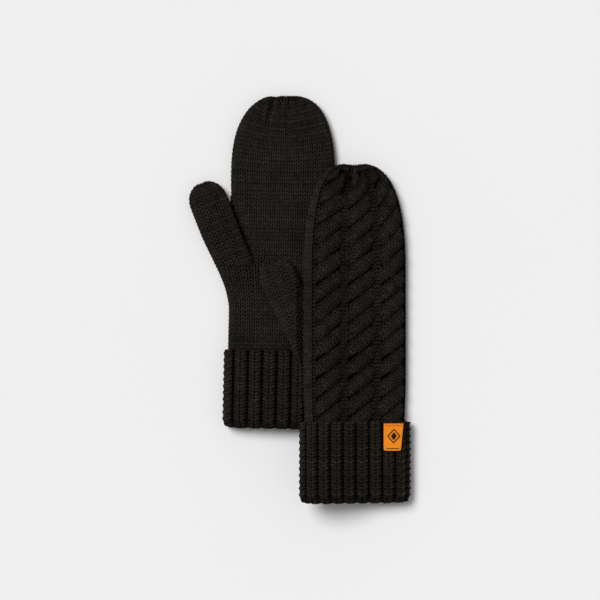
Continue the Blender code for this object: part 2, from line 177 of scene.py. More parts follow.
class Tube:
    """A flattened tube closed at its tip: around runs over the top face first, up runs to the tip."""

    def __init__(self, half_width, edge, edge_height, crown, tip, tip_length, power):
        self.half_width = half_width
        self.edge = edge
        self.half_height = edge_height / 2.0
        self.crown = crown
        self.tip = tip
        self.power = power
        self.tip_length = tip_length
        self.flat = half_width - edge
        self.arc = math.pi / 2.0 * math.sqrt((edge ** 2 + self.half_height ** 2) / 2.0)
        self.face = 2.0 * (self.flat + self.arc)
        self.turn_start = tip - tip_length
        self.end = self.turn_start + tip_length * (1.0 - DRAWN_IN ** power) ** (1.0 / power)
        self.rows = self.row_table()

    def width(self, y):
        """Share of the full width at y, a superellipse towards the tip."""
        near = np.clip(1.0 - (self.tip - y) / self.tip_length, 0.0, 1.0)
        return np.maximum(1.0 - near ** self.power, 0.0) ** (1.0 / self.power)

    def closing(self, y):
        """Share of the full thickness at y."""
        near = np.clip(1.0 - (self.end - y) / TIP_REACH, 0.0, 1.0)
        return np.sqrt(np.maximum(1.0 - near ** 2, 0.0))

    def row_table(self):
        """y of evenly spaced rows on each wale between the start of the turn and the tip."""
        share = np.sin(np.linspace(0.0, math.pi / 2.0, 500))
        y = self.turn_start + (self.end - self.turn_start) * share
        table = []
        for reach in np.linspace(0.0, 1.0, 17):
            x = reach * self.half_width * self.width(y)
            z = self.half_height * self.closing(y)
            steps = np.sqrt(np.diff(x) ** 2 + np.diff(y) ** 2 + np.diff(z) ** 2)
            lengths = np.concatenate(([0.0], np.cumsum(steps)))
            table.append(np.interp(np.linspace(0.0, lengths[-1], 121), lengths, y))
            if reach == 0.0:
                self.turn_rows = lengths[-1]
        self.last = self.turn_start + self.turn_rows
        return np.array(table)

    def height(self, across, up):
        """y of a place on the wale that runs at the share across, from -1 to 1, of the half width."""
        share = np.clip((up - self.turn_start) / self.turn_rows, 0.0, 1.0) * 120.0
        reach = np.clip(np.abs(across), 0.0, 1.0) * 16.0
        i, j = np.minimum(reach.astype(int), 15), np.minimum(share.astype(int), 119)
        a, b = reach - i, share - j
        rows = self.rows
        y = (rows[i, j] * (1 - a) * (1 - b) + rows[i + 1, j] * a * (1 - b)
             + rows[i, j + 1] * (1 - a) * b + rows[i + 1, j + 1] * a * b)
        return np.where(up < self.turn_start, up, y)

    def section(self, around, inward=0.0):
        """x over the half width, and height over and above the middle, of a place round the section."""
        around = np.mod(around, 2.0 * self.face)
        below = around > self.face
        a = np.where(below, 2.0 * self.face - around, around)
        start, end = self.arc, self.arc + 2.0 * self.flat
        rest = (2.0 * self.arc + 2.0 * self.flat - a) / self.arc
        angle = np.where(a < start, a / self.arc, np.where(a > end, rest, 1.0))
        angle = angle * math.pi / 2.0
        rounded = self.flat + (self.edge - inward) * np.cos(angle)
        x = np.where(a < start, -rounded, np.where(a > end, rounded, a - self.arc - self.flat))
        level = self.half_height - inward
        z = np.where((a < start) | (a > end), level * np.sin(angle), level)
        return x, np.where(below, -z, z + self.crown * self.bow(np.clip(x / self.flat, -1.0, 1.0)))

    def bow(self, across):
        """How the upper face rises towards its middle, from 0 to 1."""
        return np.cos(across * math.pi / 2.0) ** 2

    def place(self, around, up):
        """Points in the tube's own frame."""
        x, z = self.section(around)
        y = self.height(x / self.half_width, up)
        x = x * self.width(y)
        return np.stack((x, y, self.half_height + z * self.closing(y)), axis=-1)


class Sleeve(Tube):
    """A cuff's turned-up layer: rolled in at its upper rim, folded in at its lower edge."""

    def __init__(self, half_width, edge, edge_height, crown, top, low=0.0, depth=0.0, rim=RIM_RADIUS):
        super().__init__(half_width, edge, edge_height, crown, top + 1.0, 0.1, 2.0)
        self.top, self.low, self.depth, self.rim = top, low, depth, rim

    def bow(self, across):
        """A cuff's upper face is evenly bowed."""
        return 1.0 - across ** 2

    def place(self, around, up):
        """Points in the mitten's frame: below the fold's radius, up runs round it and back inside."""
        fold = np.clip((self.low + FOLD_RADIUS - up) / FOLD_RADIUS, 0.0, None)
        angle = np.minimum(fold, math.pi)
        inside = np.maximum(fold - math.pi, 0.0) * FOLD_RADIUS
        folded = self.low + FOLD_RADIUS * (1.0 - np.sin(angle)) + inside
        y = np.where(fold > 0.0, folded, up)
        inward = FOLD_RADIUS * (1.0 - np.cos(angle))
        rim = np.clip((up - self.top) / self.rim, 0.0, math.pi * 0.6)
        y = np.where(rim > 0.0, self.top + self.rim * np.sin(rim), y)
        inward = inward + self.rim * (1.0 - np.cos(rim)) + self.depth
        x, z = self.section(around, inward)
        corner = 0.0
        for size, gap in ((LOW_CORNER, y - self.low), (TOP_CORNER, self.top + self.rim - y)):
            near = np.clip(1.0 - gap / size, 0.0, 1.0)
            corner = corner + size * CORNER_DEPTH * near ** 2.4
        x = x * (1.0 - corner / self.half_width)
        return np.stack((x, y, self.half_height + z), axis=-1)


class Mitten:
    """One mitten's frame and its tubes.

    hand: height of its edge, crown of its upper face, length of its rounded tip.
    shape: taper to the wrist, fullness at the fold, lean of the tip, and the notch's place, width and depth.
    creases: the start and end of each, its width and its depth.
    groove: where the first groove between ribs is, from the cuff's middle.
    """

    def __init__(self, name, hand, shape, creases, ribs, groove):
        self.name = name
        self.taper, self.fullness, self.tip_lean, self.notch = shape
        axis = JOINTS[name + "_finger_fold"]["axis"]
        self.turn = math.atan2(axis[1], axis[0])
        fold_middle = turned(np.array([0.0, 0.0015, 0.0]), self.turn)
        self.origin = centre(name + "_cuff_fold") * (1.0, 1.0, 0.0) - fold_middle
        self.cuff_top = 2.0 * self.local(centre(name + "_turned_up_cuff"))[1] - 0.0033
        self.fold = self.local(np.array(JOINTS[name + "_finger_fold"]["pos_m"]))[1]
        tip = self.local(centre(name + "_tip_gather"))[1] + 0.0019
        edge_height, crown, tip_length = hand
        self.hand = Tube(HAND_HALF_WIDTH, HAND_EDGE, edge_height, crown, tip, tip_length, HAND_TIP_POWER)
        self.pivot = self.local(np.array(JOINTS[name + "_thumb_swing"]["pos_m"]))
        thumb_end = self.local(centre(name + "_thumb_gather")) - self.pivot
        self.thumb_angle = math.atan2(-thumb_end[0], thumb_end[1])
        self.thumb_tip = math.hypot(thumb_end[0], thumb_end[1]) + 0.0014
        self.thumb = Tube(THUMB_HALF_WIDTH, THUMB_EDGE, THUMB_HEIGHT, THUMB_CROWN, self.thumb_tip,
                          THUMB_TIP_LENGTH, THUMB_TIP_POWER)
        rim = self.cuff_top - 0.0006
        self.cuff = Sleeve(CUFF_HALF_WIDTH, CUFF_EDGE, CUFF_HEIGHT, CUFF_CROWN, rim, 0.0010)
        self.inner_cuff = Sleeve(CUFF_HALF_WIDTH, CUFF_EDGE, CUFF_HEIGHT, CUFF_CROWN, rim, 0.0015,
                                 INNER_DEPTH)
        self.creases = creases
        self.ribs = ribs
        self.groove = self.cuff.arc + self.cuff.flat + groove

    def local(self, point):
        """A point of the pair's frame in the mitten's own frame."""
        return turned(point - getattr(self, "origin", 0.0), -self.turn)

    def world(self, points):
        """Points of the mitten's frame in the pair's frame, laid on what the mitten lies on."""
        points = turned(points, self.turn) + self.origin
        if self.name == "right":
            points[..., 2] += support(points[..., 0], points[..., 1])
        return points

    def in_thumb(self, points):
        """Points of the thumb's own frame in the mitten's."""
        return turned(points, self.thumb_angle) + self.pivot * (1.0, 1.0, 0.0)

    def thumb_side(self, points):
        """How far inside the thumb's outline points of the mitten's frame are, past its inner side."""
        side = turned(np.array([self.thumb.half_width, 0.0, 0.0]), self.thumb_angle) + self.pivot
        ahead = turned(np.array([0.0, 1.0, 0.0]), self.thumb_angle)
        return from_line(points, side[:2], (side + ahead)[:2])

    def hand_surface(self, around, up):
        """The hand's outer face."""
        points = self.hand.place(around, up)
        points = self.gather(points)
        if self.name == "left":
            points = self.meet_thumb(points)
        return self.world(points)

    def gather(self, points):
        """The drawn-in tip: a notch in its outline and creases that run down from it."""
        x, y = points[..., 0], points[..., 1]
        x = x * (1.0 - self.taper * (1.0 - smooth(y, self.cuff_top - 0.004, self.cuff_top + 0.034)))
        x = x * (1.0 + self.fullness * np.exp(-((y - self.fold - 0.006) / 0.030) ** 2))
        x = x + self.tip_lean * smooth(y, self.hand.tip - 0.030, self.hand.tip)
        points[..., 0] = x
        place, width, depth = self.notch
        notch = depth * np.exp(-((x - place) / width) ** 2) * smooth(y, self.hand.tip - 0.014, self.hand.tip)
        points[..., 1] = y - notch
        middle = self.hand.half_height
        face = np.clip((points[..., 2] - middle) / middle, 0.0, 1.0)
        for start, end, width, depth in self.creases:
            gap, share = near_segment(points, start, end)
            points[..., 2] -= depth * face * np.exp(-(gap / width) ** 2) * (1.0 - 0.7 * share)
        pleats = np.cos(x / PLEAT) * smooth(y, self.hand.tip - 0.022, self.hand.tip - 0.004)
        points[..., 2] += 0.0004 * face * pleats
        return points

    def meet_thumb(self, points):
        """The gusset widens to the thumb, and the palm goes under the thumb past its inner side."""
        x, y = points[..., 0], points[..., 1]
        spread = np.clip((y - 0.096) / 0.035, 0.0, 1.0) ** 1.5 * (1.0 - smooth(y, 0.1335, 0.150))
        points[..., 0] = x - 0.0104 * spread * np.clip((-x - 0.010) / 0.0313, 0.0, 1.0) ** 1.2
        face = np.clip(points[..., 2] / self.hand.half_height - 0.6, 0.0, 1.0)
        inside = np.minimum(self.thumb_side(points), (points[..., 1] - JOIN_LINE) * 1.3)
        under = smooth(inside, -0.0008, 0.0030)
        beside = np.exp(np.minimum(inside, 0.0) / 0.0027)
        beside = beside * smooth(points[..., 1], JOIN_LINE - 0.001, JOIN_LINE + 0.012)
        seam = 0.0006 * np.exp(-((points[..., 1] - JOIN_LINE) / 0.0016) ** 2)
        seam = seam * (self.thumb_side(points) > -0.004)
        points[..., 2] -= face * np.minimum(0.0042 * beside + 0.0062 * under + seam, points[..., 2] - 0.004)
        return points

    def thumb_surface(self, around, up):
        """The thumb's outer face; the left one sinks into the palm at its base."""
        points = self.thumb.place(around, up)
        along = points[..., 1]
        level = points[..., 2]
        if self.name == "left":
            outer = np.clip(-points[..., 0] / self.thumb.half_width, -1.0, 1.0)
            points[..., 0] -= 0.0016 * smooth(along, 0.0, 0.040) + 0.0008 * outer * smooth(along, 0.02, 0.045)
            points = self.in_thumb(points)
            sunk = 1.0 - smooth(points[..., 1], JOIN_LINE - 0.007, JOIN_LINE + 0.0012)
            points[..., 2] = level * (1.0 - 0.55 * sunk) + 0.0004
            return turned(points, self.turn) + self.origin
        points = self.in_thumb(points)
        points = turned(points, self.turn) + self.origin
        pressed = smooth(points[..., 0], HAND_SIDE - 0.0065, HAND_SIDE + 0.0005)
        lift = CUFF_LEVEL + (HAND_LEVEL - CUFF_LEVEL) * smooth(along, 0.0145, 0.0464)
        points[..., 2] = lift + level * (1.0 - 0.55 * pressed)
        return points

    def cuff_surface(self, around, up):
        """The turned-up layer's outer face, round the fold and a little way inside."""
        return self.world(self.cuff.place(around, up))

    def inner_surface(self, around, up):
        """The outer face of the layer that the turned-up one lies on."""
        return self.world(self.inner_cuff.place(around, up))


# What the right mitten lies on
LEFT_CUFF_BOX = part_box("left_turned_up_cuff")
REST_GAP = 0.0006
CUFF_LEVEL = LEFT_CUFF_BOX[1][2] + REST_GAP
HAND_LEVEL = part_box("left_palm_panel")[1][2] + REST_GAP
SLOPE_START = 0.0065
SLOPE_RUN = 0.0544
STEP_START = LEFT_CUFF_BOX[1][1] + 0.0031
STEP_RUN = 0.030
HAND_SIDE = centre("right_cuff_fold")[0] - HAND_HALF_WIDTH
JOIN_LINE = 0.1310            # where the left thumb is joined to the palm, up from the cuff's edge


def support(x, y):
    """Height of what the right mitten lies on."""
    level = CUFF_LEVEL + (HAND_LEVEL - CUFF_LEVEL) * smooth(y, STEP_START, STEP_START + STEP_RUN)
    return level * (1.0 - smooth(x, SLOPE_START, SLOPE_START + SLOPE_RUN))


# ---------------------------------------------------------------- yarn

class Knit:
    """Collects strands of yarn and sheets of backing, and makes one mesh of them."""

    def __init__(self):
        self.points, self.quads, self.uvs, self.tones, self.strips = [], [], [], [], []
        self.count = 0

    def add(self, grid, lengths, tone, closed):
        """Adds k surfaces of n by s points; closed joins each row of s points into a ring."""
        k, n, s = grid.shape[:3]
        index = np.arange(k * n * s).reshape(k, n, s) + self.count
        near, far = index[:, :-1], index[:, 1:]
        if closed:
            corners = (near, np.roll(near, -1, axis=2), np.roll(far, -1, axis=2), far)
            steps = s
        else:
            corners = (near[..., :-1], near[..., 1:], far[..., 1:], far[..., :-1])
            steps = s - 1
        self.quads.append(np.stack(corners, axis=-1).reshape(-1, 4))
        along = np.broadcast_to(lengths[:, :, None], (k, n, steps))
        across = np.broadcast_to(np.arange(steps) / steps, (k, n, steps))
        step = 1.0 / steps
        u = np.stack((along[:, :-1], along[:, :-1], along[:, 1:], along[:, 1:]), axis=-1)
        v = np.stack((across[:, :-1], across[:, :-1] + step, across[:, :-1] + step, across[:, :-1]), axis=-1)
        self.uvs.append(np.stack((u, v), axis=-1).reshape(-1, 2))
        self.points.append(grid.reshape(-1, 3))
        self.tones.append(np.broadcast_to(tone, (k, n, s)).ravel())
        self.strips.append((k, n - 1, steps))
        self.count += k * n * s

    def strands(self, surface, around, up, depth, radius, tone_spread=0.035, sides=SIDES):
        """Adds k strands of yarn of n points each, given as places on a surface and depths out of it."""
        middle, outward, stretch = on_surface(surface, around, up, depth)
        radius = radius * np.clip(stretch, 0.30, 1.0) ** 0.85
        angle = 2.0 * math.pi * np.arange(sides) / sides
        tone = 0.5 + tone_spread * rng.standard_normal((len(middle), 1, 1))
        # Painted shade and highlight: each strand is painted darker where it lies in and on its inner side,
        # and paler where it stands out and on its outer side.
        reach = depth.max(axis=1, keepdims=True) - depth.min(axis=1, keepdims=True)
        spread = depth - depth.min(axis=1, keepdims=True) - reach / 2.0
        painted_depth_shade = (spread[..., None] + radius[..., None] * np.cos(angle)) / (reach.mean() + 2.0 * YARN)
        grid = ringed(middle, outward, radius, sides)
        self.add(grid, run_lengths(middle), tone + PAINTED_DEPTH_SHADE * painted_depth_shade, closed=True)

    def backing(self, surface, around, up, depth=-INSET - BACKING, tone=0.0):
        """Adds a thin sheet under the stitches, painted black as the shade in the gaps between them."""
        c, v = np.meshgrid(around, up, indexing="ij")
        middle = on_surface(surface, c, v, np.broadcast_to(depth, c.shape))[0]
        self.add(middle[None], np.broadcast_to(around, (1, len(around))), tone, closed=False)

    def bake_map(self):
        """Places every strip of faces in its own rectangle of a square map."""
        cells = sum(k * (n + 1) * (s + 1) for k, n, s in self.strips)
        size = int(math.sqrt(cells) * 1.06) + 2
        size = max(size, max(n for k, n, s in self.strips) + 2)
        maps, x, y, shelf = [], 0, 0, 0
        for k, n, s in self.strips:
            for _ in range(k):
                if x + n + 1 > size:
                    x, y, shelf = 0, y + shelf, 0
                shelf = max(shelf, s + 1)
                u, v = np.meshgrid(x + np.arange(n), y + np.arange(s), indexing="ij")
                corners = np.stack((u, v, u, v + 1, u + 1, v + 1, u + 1, v), axis=-1)
                maps.append(corners.reshape(-1, 2))
                x += n + 1
        full = float(max(size, y + shelf))
        return (np.concatenate(maps) + 0.5) / (full + 1.0)

    def make(self, name, material):
        """The mesh object."""
        points = np.concatenate(self.points)
        quads = np.concatenate(self.quads)
        points[:, 2] = np.maximum(points[:, 2], LIMIT)
        mesh = bpy.data.meshes.new(name)
        mesh.vertices.add(len(points))
        mesh.vertices.foreach_set("co", points.astype(np.float32).ravel())
        mesh.loops.add(quads.size)
        mesh.loops.foreach_set("vertex_index", quads.astype(np.int32).ravel())
        mesh.polygons.add(len(quads))
        mesh.polygons.foreach_set("loop_start", np.arange(0, quads.size, 4, dtype=np.int32))
        mesh.update(calc_edges=True)
        mesh.polygons.foreach_set("use_smooth", np.ones(len(quads), dtype=bool))
        lay = mesh.uv_layers.new(name="Yarn")
        lay.data.foreach_set("uv", np.concatenate(self.uvs).astype(np.float32).ravel())
        bake = mesh.uv_layers.new(name="OFBake")
        bake.data.foreach_set("uv", self.bake_map().astype(np.float32).ravel())
        # This attribute holds each strand's random variation together with its painted shade and highlight,
        # and paints the backing black.
        tone = mesh.attributes.new("tone", "FLOAT", "POINT")
        tone.data.foreach_set("value", np.concatenate(self.tones).astype(np.float32))
        mesh.materials.append(material)
        mesh.validate()
        piece = bpy.data.objects.new(name, mesh)
        bpy.context.scene.collection.objects.link(piece)
        return piece


def ringed(path, outward, radius, sides):
    """Rings of points round a path, or round each of many, with one side towards outward."""
    ahead = np.gradient(path, axis=-2)
    ahead /= np.maximum(np.linalg.norm(ahead, axis=-1, keepdims=True), 1e-9)
    side = np.cross(ahead, outward)
    side /= np.maximum(np.linalg.norm(side, axis=-1, keepdims=True), 1e-9)
    rise = np.cross(side, ahead)
    angle = 2.0 * math.pi * np.arange(sides) / sides
    ring = (np.cos(angle)[:, None] * rise[..., None, :] + np.sin(angle)[:, None] * side[..., None, :])
    return path[..., None, :] + ring * np.asarray(radius)[..., None, None]


def run_lengths(path):
    """Length of yarn from the start of each path to each of its points."""
    steps = np.linalg.norm(np.diff(path, axis=1), axis=-1)
    return np.concatenate((np.zeros((len(steps), 1)), np.cumsum(steps, axis=1)), axis=1)


def on_surface(surface, around, up, depth):
    """Points at a depth out of a surface, its outward direction, and how much it squeezes the wales."""
    nudge = 0.0002
    here = surface(around, up)
    across = surface(around + nudge, up) - surface(around - nudge, up)
    ahead = surface(around, up + nudge) - surface(around, up - nudge)
    outward = np.cross(across, ahead)
    outward /= np.maximum(np.linalg.norm(outward, axis=-1, keepdims=True), 1e-12)
    stretch = np.linalg.norm(across, axis=-1) / (2.0 * nudge)
    scale = np.clip(stretch, 0.3, 1.0)
    return here + outward * ((depth + INSET) * scale - INSET * scale ** 0.5)[..., None], outward, stretch


def loops(wales, width, row, opening=OPENING, relief=RELIEF, face=1.0):
    """Offsets along a course of one row: across and up the fabric, and out of it."""
    t = np.arange(wales * STEPS + 1) / STEPS
    angle = 2.0 * math.pi * t
    across = width * (t + opening * np.sin(2.0 * angle))
    return across, -LOOP * row * np.cos(angle), -face * relief * np.cos(2.0 * angle)


def plain_rows(knit, surface, first, last, around, width, wales, row, yarn=YARN):
    """Stockinette from first to last; wales are knitted together in pairs where they crowd."""
    groups = {}
    for up in np.arange(first, last, row):
        probe = np.linspace(around, around + width * wales, 9)
        stretch = on_surface(surface, probe, np.full(9, up), np.zeros(9))[2].mean()
        most = 1 if stretch > 0.60 else 2 if stretch > 0.40 else 3 if stretch > 0.25 else 4
        merge = max(count for count in range(1, most + 1) if wales % count == 0)
        if stretch > 0.04:
            groups.setdefault(merge, []).append(up)
    for merge, heights in groups.items():
        across, lift, out = loops(wales // merge, width * merge, row)
        heights = np.array(heights)[:, None]
        sway = 0.00012 * rng.standard_normal(heights.shape)
        around_grid = np.broadcast_to(around + across, (len(heights), len(across)))
        up_grid = heights + lift + sway
        depth = np.broadcast_to(out - INSET, up_grid.shape)
        radius = yarn * (1.0 + 0.35 * (merge > 1))
        knit.strands(surface, around_grid, up_grid, depth, np.full(up_grid.shape, radius))


def purl_columns(knit, surface, first, last, middle):
    """The sunken purl wales between two ropes."""
    across, lift, out = loops(PURL_WALES, PURL_WIDTH, HAND_ROW, face=-1.0)
    heights = np.arange(first, last, HAND_ROW)[:, None]
    up = heights + lift
    around = np.broadcast_to(middle - PURL_WALES * PURL_WIDTH / 2.0 + across, up.shape)
    depth = np.broadcast_to(out - INSET - 0.0013, up.shape)
    knit.strands(surface, around, up, depth, np.full(up.shape, YARN * 0.9))


def rope(knit, surface, first, last, middle, side, sunk):
    """Two strands of three wales each that cross over one another, always the same way."""
    turns = np.linspace(0.0, 2.0 * math.pi, 200)
    path = np.stack((-STRAND_SWING * np.cos(turns), CROSSING * turns / math.pi), axis=-1)
    reach = np.concatenate(([0.0], np.cumsum(np.linalg.norm(np.diff(path, axis=0), axis=1))))
    across, lift, out = loops(3, STRAND_WALE, STRAND_ROW)
    across = across - 1.5 * STRAND_WALE
    rounds = int((last - first) / (2.0 * CROSSING)) + 2
    count = int(rounds * reach[-1] / STRAND_ROW)
    for phase in (0.0, 1.0):
        along = np.arange(count)[:, None] * STRAND_ROW + lift
        whole = np.floor(along / reach[-1])
        turn = np.interp(along - whole * reach[-1], reach, turns)
        c = -STRAND_SWING * np.cos(turn)
        v = first + CROSSING * (turn / math.pi + 2.0 * whole + phase - 1.0)
        slope = STRAND_SWING * np.sin(turn) * math.pi / CROSSING
        size = np.sqrt(1.0 + slope ** 2)
        c = c + across / size
        v = v - across * slope / size
        edge = np.abs(across) / (1.5 * STRAND_WALE)
        rise = STRAND_RISE * np.sin(turn) - STRAND_ROUND * edge ** 2.2 - sunk
        keep = (v[:, 0] > first - 0.002) & (v.max(axis=1) < last) & (np.sin(turn).mean(axis=1) > -0.62)
        c, v, rise = c[keep], v[keep], rise[keep]
        depth = rise + out - INSET
        knit.strands(surface, middle + side * c, v, depth, np.full(c.shape, YARN * 1.03))


def rib_rows(knit, surface, first, last, round_length, ribs, groove, flat=1.0, sides=SIDES):
    """Fisherman's rib: rounded knit wales of doubled strands, with purl bars deep between them."""
    pitch = round_length / ribs
    wide = pitch * RIB_KNIT_SHARE
    bar = pitch - wide
    front, lift, out = loops(1, wide, 1.0, opening=RIB_OPENING, relief=RIB_RELIEF * flat)
    across = np.concatenate((front[:-1], wide + bar * np.array([0.0, 0.25, 0.5, 0.75])))
    sunk = RIB_GROOVE * flat * np.array([0.15, 0.8, 1.0, 0.8])
    lift = np.concatenate((lift[:-1], [-LOOP, -LOOP * 0.8, -LOOP * 0.7, -LOOP * 0.8])) / LOOP
    rounded = np.sin(math.pi * np.clip(front[:-1] / wide, 0.0, 1.0)) ** 0.8
    out = np.concatenate((out[:-1] + RIB_ROUND * flat * rounded, -RIB_RELIEF * flat - sunk))
    raised = np.concatenate((rounded, np.zeros(4)))
    across = np.concatenate([across + pitch * rib for rib in range(ribs)] + [[pitch * ribs]])
    lift, out, raised = (np.concatenate([np.tile(a, ribs), a[:1]]) for a in (lift, out, raised))
    rows = np.arange(first, last, RIB_ROW)
    heights = np.concatenate((rows, rows + RIB_TUCK))[:, None]
    full = (np.arange(len(heights)) < len(rows))[:, None]
    up = heights + lift * np.where(full, 0.0022, 0.0019)
    around = np.broadcast_to(groove + bar / 2.0 + across, up.shape)
    depth = out + raised * flat * BUMP_RISE * (2.0 * full - 1.0) - RIB_INSET
    depth = np.where(up < FOLD_RADIUS + 0.003, np.maximum(depth, -FOLD_DEPTH), depth)
    radius = np.full(up.shape, RIB_YARN) * np.where(full, 1.06, 0.96)
    knit.strands(surface, around, up, depth, radius, sides=sides)


# ---------------------------------------------------------------- materials

def add_socket(group, name, kind, way, value=None):
    """A named input or output of a node group."""
    socket = group.interface.new_socket(name=name, in_out=way, socket_type=kind)
    if value is not None:
        socket.default_value = value
    return socket


def node(tree, kind, links=None, values=None, **settings):
    """A node with its settings, its inputs' values and the sockets that feed them."""
    made = tree.nodes.new(kind)
    for key, value in settings.items():
        setattr(made, key, value)
    for key, value in (values or {}).items():
        made.inputs[key].default_value = value
    for key, source in (links or {}).items():
        tree.links.new(source, made.inputs[key])
    return made


def maths(tree, operation, a, b=None, clamp=False):
    """A maths node; a and b are sockets or numbers."""
    made = node(tree, "ShaderNodeMath", operation=operation, use_clamp=clamp)
    for slot, value in enumerate((a, b)):
        if value is None:
            continue
        if isinstance(value, (int, float)):
            made.inputs[slot].default_value = value
        else:
            tree.links.new(value, made.inputs[slot])
    return made.outputs[0]


def mix(tree, share, first, second, blend="MIX"):
    """A colour mix; first and second are sockets or colours."""
    made = node(tree, "ShaderNodeMix", data_type="RGBA", blend_type=blend)
    for key, value in ((0, share), (6, first), (7, second)):
        if isinstance(value, (int, float)):
            made.inputs[key].default_value = value
        elif isinstance(value, tuple):
            made.inputs[key].default_value = (*value, 1.0)
        else:
            tree.links.new(value, made.inputs[key])
    return made.outputs[2]


def ramp(tree, value, low, high):
    """A value stretched so that low becomes 0 and high 1."""
    made = node(tree, "ShaderNodeMapRange", {"Value": value}, {"From Min": low, "From Max": high})
    return made.outputs["Result"]


def noise(tree, scale, detail=2.0, vector=None, roughness=0.5):
    """Noise over the object's own coordinates, or over a given vector."""
    if vector is None:
        vector = tree.nodes.new("ShaderNodeTexCoord").outputs["Object"]
    made = node(tree, "ShaderNodeTexNoise", {"Vector": vector},
                {"Scale": scale, "Detail": detail, "Roughness": roughness})
    return made.outputs["Fac"]


def cloth_group(name):
    """An empty group for a cloth: what its colours run between, and what it gives a material."""
    group = bpy.data.node_groups.new(name, "ShaderNodeTree")
    add_socket(group, "Dark", "NodeSocketColor", "INPUT", (0.01, 0.01, 0.01, 1.0))
    add_socket(group, "Pale", "NodeSocketColor", "INPUT", (0.08, 0.07, 0.06, 1.0))
    add_socket(group, "Colour", "NodeSocketColor", "OUTPUT")
    add_socket(group, "Roughness", "NodeSocketFloat", "OUTPUT")
    add_socket(group, "Height", "NodeSocketFloat", "OUTPUT")
    return group


def heather_group():
    """Spun wool: dark fibres with paler ones among them, twisted plies, slow patchy changes of darkness;
    painted shade in the plies' grooves, and painted shade where the yarn lies in and painted highlight where
    it stands out.
    """
    group = cloth_group("heather_wool")
    add_socket(group, "Pale Share", "NodeSocketFloat", "INPUT", 0.3)
    entry = group.nodes.new("NodeGroupInput")
    exit_node = group.nodes.new("NodeGroupOutput")
    uv = node(group, "ShaderNodeUVMap", uv_map="Yarn").outputs["UV"]
    split = node(group, "ShaderNodeSeparateXYZ", {"Vector": uv})
    lay = maths(group, "MULTIPLY", split.outputs["X"], 1.0 / PLY_LAY)
    twist = maths(group, "ADD", lay, split.outputs["Y"])
    ply = maths(group, "ABSOLUTE", maths(group, "SINE", maths(group, "MULTIPLY", twist, PLIES * math.pi)))
    stretched = node(group, "ShaderNodeCombineXYZ", {
        "X": maths(group, "MULTIPLY", split.outputs["X"], 900.0),
        "Y": maths(group, "MULTIPLY", twist, 22.0)}).outputs["Vector"]
    fibre = noise(group, 1.0, 3.0, stretched)
    fleck = ramp(group, noise(group, 1500.0, 2.0), 0.52, 0.70)
    drift = noise(group, 55.0, 2.0)
    tone = node(group, "ShaderNodeAttribute", attribute_name="tone").outputs["Fac"]
    share = maths(group, "MULTIPLY", fleck, entry.outputs["Pale Share"])
    streak = maths(group, "MULTIPLY", ramp(group, fibre, 0.45, 0.75), entry.outputs["Pale Share"])
    share = maths(group, "ADD", share, streak, clamp=True)
    colour = mix(group, share, entry.outputs["Dark"], entry.outputs["Pale"])
    # Painted shade: the yarn is painted darker in the grooves between its plies.
    level = maths(group, "ADD", maths(group, "MULTIPLY", ply, 0.45), 0.62)
    level = maths(group, "MULTIPLY", level, maths(group, "ADD", maths(group, "MULTIPLY", drift, 0.7), 0.65))
    mottle = maths(group, "ADD", maths(group, "MULTIPLY", noise(group, 260.0, 1.0), 1.1), 0.45)
    level = maths(group, "MULTIPLY", level, mottle)
    # Painted shade and highlight: yarn that lies in, and the backing, are painted darker, and yarn that
    # stands out paler.
    raised = maths(group, "POWER", maths(group, "MAXIMUM", maths(group, "MULTIPLY", tone, 2.0), 0.02), 2.0)
    level = maths(group, "MULTIPLY", level, raised)
    grey = node(group, "ShaderNodeCombineColor",
                {"Red": level, "Green": level, "Blue": level}).outputs["Color"]
    colour = mix(group, 1.0, colour, grey, "MULTIPLY")
    height = maths(group, "ADD", ply, maths(group, "MULTIPLY", fibre, 0.7))
    rough = maths(group, "ADD", maths(group, "MULTIPLY", fibre, 0.18), 0.80)
    group.links.new(colour, exit_node.inputs["Colour"])
    group.links.new(rough, exit_node.inputs["Roughness"])
    group.links.new(height, exit_node.inputs["Height"])
    return group


def principled(name):
    """A material with only its output and its Principled shader."""
    material = bpy.data.materials.new(name)
    material.use_nodes = True
    return material, material.node_tree, material.node_tree.nodes["Principled BSDF"]


def cloth(name, group, dark, pale, bump, specular):
    """A material made with a cloth's group, and the group's node in it; bump is strength and distance."""
    material, tree, shader = principled(name)
    weave = tree.nodes.new("ShaderNodeGroup")
    weave.node_tree = group
    weave.inputs["Dark"].default_value = (*dark, 1.0)
    weave.inputs["Pale"].default_value = (*pale, 1.0)
    tree.links.new(weave.outputs["Colour"], shader.inputs["Base Color"])
    tree.links.new(weave.outputs["Roughness"], shader.inputs["Roughness"])
    relief = node(tree, "ShaderNodeBump", {"Height": weave.outputs["Height"]},
                  {"Strength": bump[0], "Distance": bump[1]})
    tree.links.new(relief.outputs["Normal"], shader.inputs["Normal"])
    shader.inputs["Specular IOR Level"].default_value = specular
    return material, weave


def wool(name, dark, pale, pale_share, bump):
    """A knitting wool."""
    material, yarn = cloth(name, HEATHER, dark, pale, (1.0, bump), 0.04)
    yarn.inputs["Pale Share"].default_value = pale_share
    return material


PLY_LAY = 0.0042              # one turn of the plies, along the yarn
PLIES = 3
HEATHER = heather_group()
KNIT_WOOL = wool("charcoal_wool", (0.0031, 0.0026, 0.0021), (0.031, 0.0266, 0.0223),
                 0.34, 0.00028)
RIB_WOOL = wool("charcoal_rib_wool", (0.0030, 0.0025, 0.0018), (0.030, 0.0249, 0.0190),
                0.32, 0.00030)

